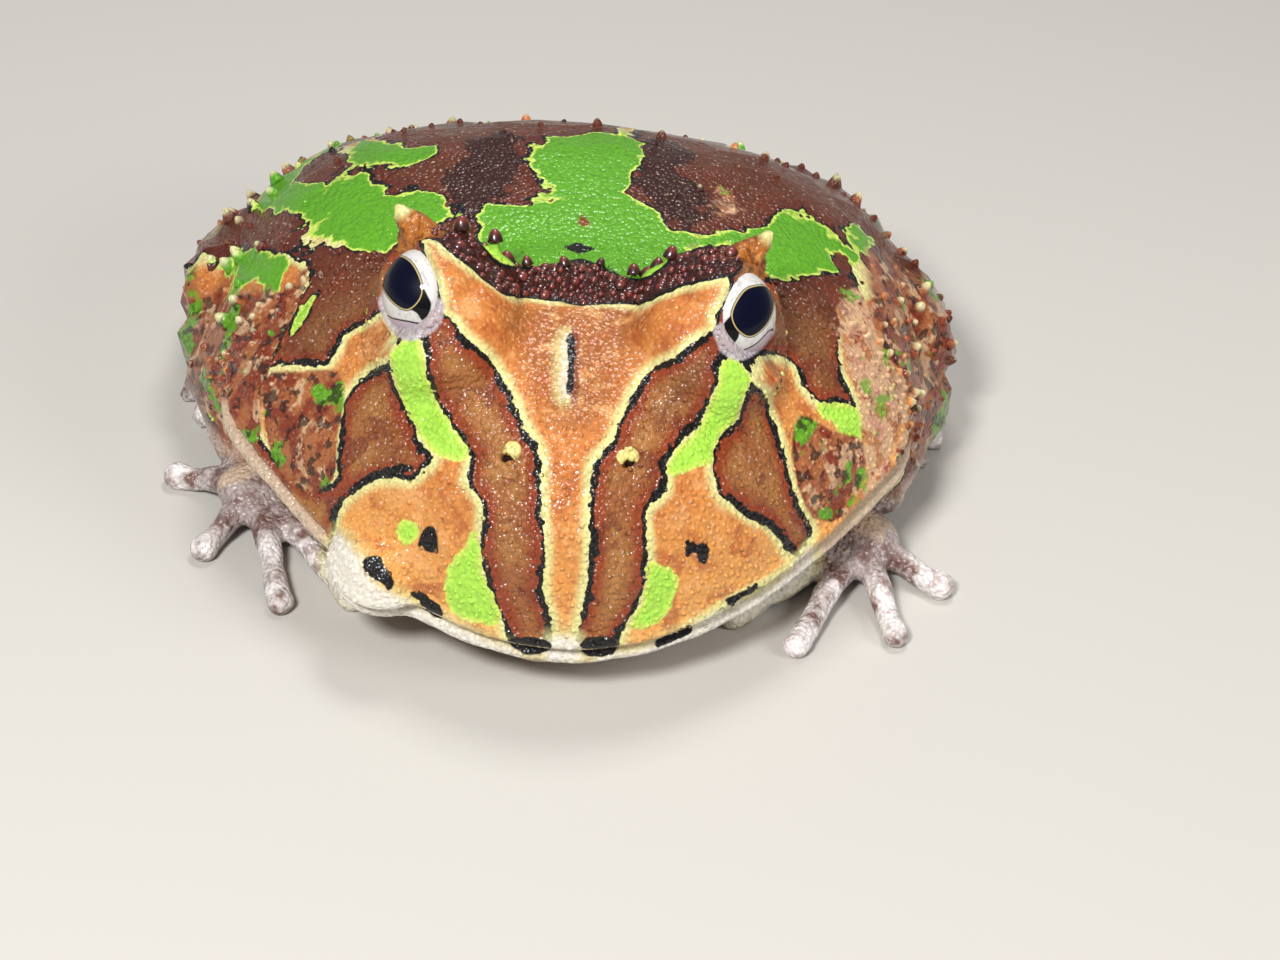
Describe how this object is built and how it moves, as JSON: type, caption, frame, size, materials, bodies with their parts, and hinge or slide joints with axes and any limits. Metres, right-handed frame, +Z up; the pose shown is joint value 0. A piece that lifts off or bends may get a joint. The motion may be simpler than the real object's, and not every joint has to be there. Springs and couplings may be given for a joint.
{
  "type": "horned frog",
  "caption": "Life-size horned frog sitting on the ground: broad head with a wide mouth, pointed eyelid horns, round body with warty flanks, and folded legs.",
  "frame": {"origin": "on the floor under the middle of the body's box", "axes": "the frog faces -Y, +Z is up, +X is the frog's left"},
  "size_m": [0.0944, 0.0964, 0.0434],
  "materials": {
    "skin": "moist, granular skin with a thin wet gloss",
    "eye": "clear, wet cornea over a silver iris and a dark pupil"
  },
  "bodies": {
    "root": {"head": "skin", "lower_jaw": "skin", "torso": "skin", "eye_left": "eye", "eye_right": "eye", "upper_lid_left": "skin", "upper_lid_right": "skin", "upper_arm_left": "skin", "upper_arm_right": "skin", "forearm_left": "skin", "forearm_right": "skin", "hand_left": "skin", "hand_right": "skin", "thigh_left": "skin", "thigh_right": "skin", "shank_left": "skin", "shank_right": "skin", "foot_left": "skin", "foot_right": "skin"}
  },
  "joints": []
}
